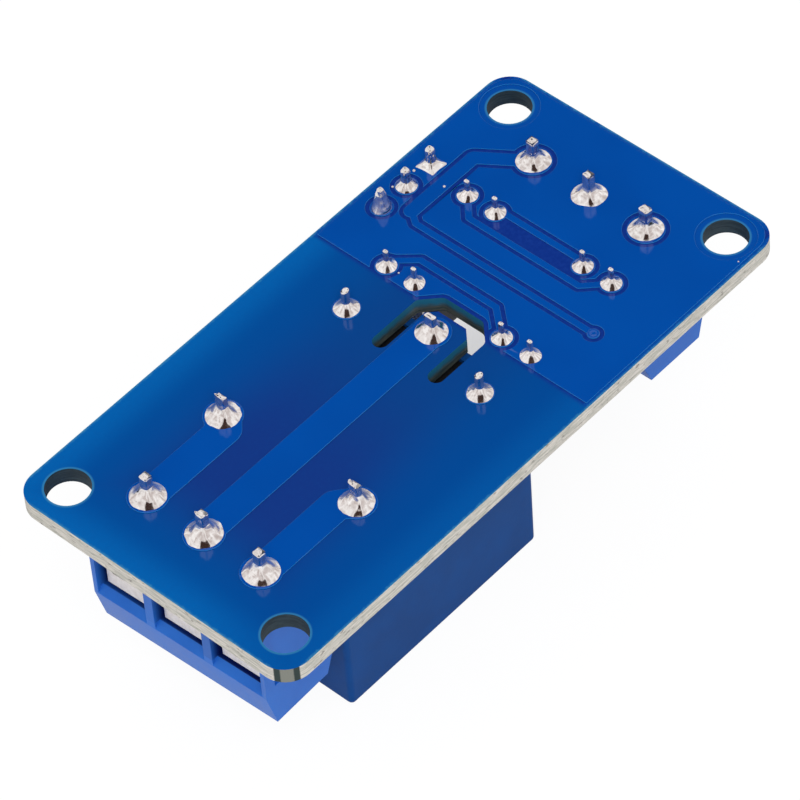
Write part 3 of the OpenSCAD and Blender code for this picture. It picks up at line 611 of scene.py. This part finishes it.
def window(w, direction, bearing, half_width, low, high):
    """1 inside a window of the tent: a bearing in degrees, its half width, and the sine of its two heights."""
    dx, dy, dz = w.axes(direction)
    toward_x, toward_y = math.cos(math.radians(bearing)), math.sin(math.radians(bearing))
    ahead = w.math("ADD", w.math("MULTIPLY", dx, toward_x), w.math("MULTIPLY", dy, toward_y))
    aside = w.absolute(w.math("SUBTRACT", w.math("MULTIPLY", dx, toward_y), w.math("MULTIPLY", dy, toward_x)))
    past_side = w.math("SUBTRACT", aside, w.math("MULTIPLY", ahead, half_width))
    return w.math("MULTIPLY", w.ramp(past_side, WINDOW_EDGE, -WINDOW_EDGE),
                  w.ramp(dz, low - WINDOW_EDGE, low + WINDOW_EDGE),
                  w.ramp(dz, high + WINDOW_EDGE, high - WINDOW_EDGE))


def light_tent():
    """White tent; mirrored, it has grey folds, a dark opening at the photographer and a dark panel opposite."""
    world = bpy.data.worlds.new("tent")
    bpy.context.scene.world = world
    world.use_nodes = True
    w = Nodes(world.node_tree)
    w.tree.nodes.clear()
    direction = w.node("ShaderNodeTexCoord").outputs["Generated"]
    path = w.node("ShaderNodeLightPath")
    mirrored = path.outputs["Is Glossy Ray"]
    folds = w.ramp(w.noise(direction, 2.6, 3.0, 0.6), 0.38, 0.66)
    opening = window(w, direction, CAMERA_BEARING, 0.54, 0.53, 0.9)
    panel = window(w, direction, CAMERA_BEARING + 180, 0.3, 0.62, 0.88)
    colour = (1, 1, 1, 1)
    for dark, tone in ((folds, srgb(206, 197, 195)), (opening, srgb(62, 46, 42)), (panel, srgb(20, 20, 24))):
        colour = w.mix(w.math("MULTIPLY", dark, mirrored), colour, tone)
    seen = w.math("MAXIMUM", path.outputs["Is Camera Ray"], mirrored)
    tent = w.node("ShaderNodeBackground")
    w.feed(tent.inputs["Color"], colour)
    w.feed(tent.inputs["Strength"], w.ramp(seen, 0.0, 1.0, TENT_LIGHT, 1.0))
    w.tree.links.new(tent.outputs[0], w.node("ShaderNodeOutputWorld").inputs[0])


def key_lamp():
    """One broad lamp at the near left."""
    data = bpy.data.lights.new("lamp_key", "AREA")
    data.shape = "RECTANGLE"
    data.size = data.size_y = 260 * MM
    data.energy = 1.0
    lamp = bpy.data.objects.new("lamp_key", data)
    lamp.visible_glossy = False
    lamp.location = Vector((-200, -230, 380)) * MM
    lamp.rotation_euler = (-lamp.location).to_track_quat("-Z", "Y").to_euler()
    bpy.context.scene.collection.objects.link(lamp)


def paper_floor():
    """Floor under the relay's cover, white to the camera with the object's shadow left in it."""
    floor_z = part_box("relay_cover")[0][2]
    bpy.ops.mesh.primitive_plane_add(size=6, location=(0, 0, floor_z))
    floor = bpy.context.object
    floor.name = "floor"
    s = Shader("floor_paper", Roughness=0.9, Base_Color=(0.92, 0.92, 0.92, 1))
    glow = s.node("ShaderNodeEmission")
    s.feed(glow.inputs["Color"], (1, 1, 1, 1))
    s.feed(glow.inputs["Strength"], 1.035)
    # the paper stays in shade under the input half of the board
    x, y, _ = s.axes(s.place())
    lit = s.ramp(s.distance(x, y, SHADE), 1.5, 9.0, 0.45, 0.9)
    rays = s.node("ShaderNodeLightPath")
    share = s.math("MAXIMUM", s.math("MULTIPLY", rays.outputs["Is Camera Ray"], lit),
                   s.math("MULTIPLY", rays.outputs["Is Glossy Ray"], 0.3))
    both = s.node("ShaderNodeMixShader")
    for index, value in enumerate((share, s.bsdf.outputs[0], glow.outputs[0])):
        s.feed(both.inputs[index], value)
    s.feed(s.tree.nodes["Material Output"].inputs[0], both.outputs[0])
    wear(floor, s.material)


# ---------------------------------------------------------------- dressing
REMADE = ("terminal_solder", "relay_solder", "header_solder", "coupler_solder", "header_pins")
ROUNDED = {                     # nodes whose edges are rounded, by how many millimetres
    "solder_side_copper": 0.035, "component_side_copper": 0.03,
    "output_terminal_housing": 0.12, "input_terminal_housing": 0.12,
    "output_terminal_clamps": 0.12, "input_terminal_clamps": 0.12,
    "output_terminal_screws": 0.08, "input_terminal_screws": 0.08,
    "coupler_a_body": 0.12, "coupler_b_body": 0.12, "jumper_cap": 0.12,
    "header_base": 0.08, "chip_resistors": 0.04, "chip_ends": 0.05,
    "transistor_body": 0.1, "diode_body": 0.12, "power_led": 0.12, "status_led": 0.12}


def finishes():
    """A material for every slot."""
    return {
        "board_mask": board_mask(),
        "copper_mask": mask_over_copper(),
        "solder": solder(),
        "terminal_plastic": terminal_plastic(),
        "relay_plastic": moulded("relay_plastic", srgb(16, 68, 132), srgb(20, 75, 143), 0.35,
                                 Specular_IOR_Level=0.05),
        "dark_plastic": moulded("dark_plastic", srgb(20, 20, 23), srgb(30, 30, 33), 0.5),
        "pale_plastic": moulded("pale_plastic", srgb(206, 204, 194), srgb(226, 224, 216), 0.45),
        "cap_plastic": moulded("cap_plastic", srgb(206, 172, 20), srgb(226, 194, 34), 0.4),
        "led_red": moulded("led_red", srgb(230, 120, 100), srgb(244, 170, 150), 0.15),
        "led_green": moulded("led_green", srgb(150, 210, 120), srgb(190, 232, 160), 0.15),
        "copper_wire": windings(),
        "tinned_metal": metal("tinned_metal", srgb(150, 150, 156), srgb(205, 204, 206), (0.24, 0.375)),
        "nickel_plate": metal("nickel_plate", srgb(222, 214, 208), srgb(240, 234, 230), (0.28, 0.4375),
                              height=0.001),
        "gold_plate": metal("gold_plate", srgb(196, 156, 70), srgb(232, 200, 120), (0.224, 0.35)),
        "soft_iron": metal("soft_iron", srgb(140, 140, 146), srgb(186, 186, 190), (0.28, 0.4375)),
        "contact_silver": metal("contact_silver", srgb(200, 196, 188), srgb(236, 232, 224), (0.2, 0.3125)),
        "copper_alloy": metal("copper_alloy", srgb(170, 110, 60), srgb(214, 160, 100), (0.22, 0.36),
                              tinned=True)}


def dress():
    finish = finishes()
    for part in frame["record"]["subparts"]:
        node, slot = part["node"], part["material_slot"]
        if node in REMADE:
            continue
        if node in ROUNDED:
            wear(softened(node, ROUNDED[node]), finish[slot], slot)
        else:
            wear(nodes[node], finish[slot])
    for joints in (terminal_joints, relay_joints, header_joints, coupler_joints):
        joints(finish["solder"])
    header_posts(finish["gold_plate"])
    specks(finish["solder"])
    via_tent(finish["copper_mask"])


aim_camera()
light_tent()
key_lamp()
paper_floor()
dress()

scene = bpy.context.scene
scene.view_settings.view_transform = "Standard"
bpy.context.view_layer.update()
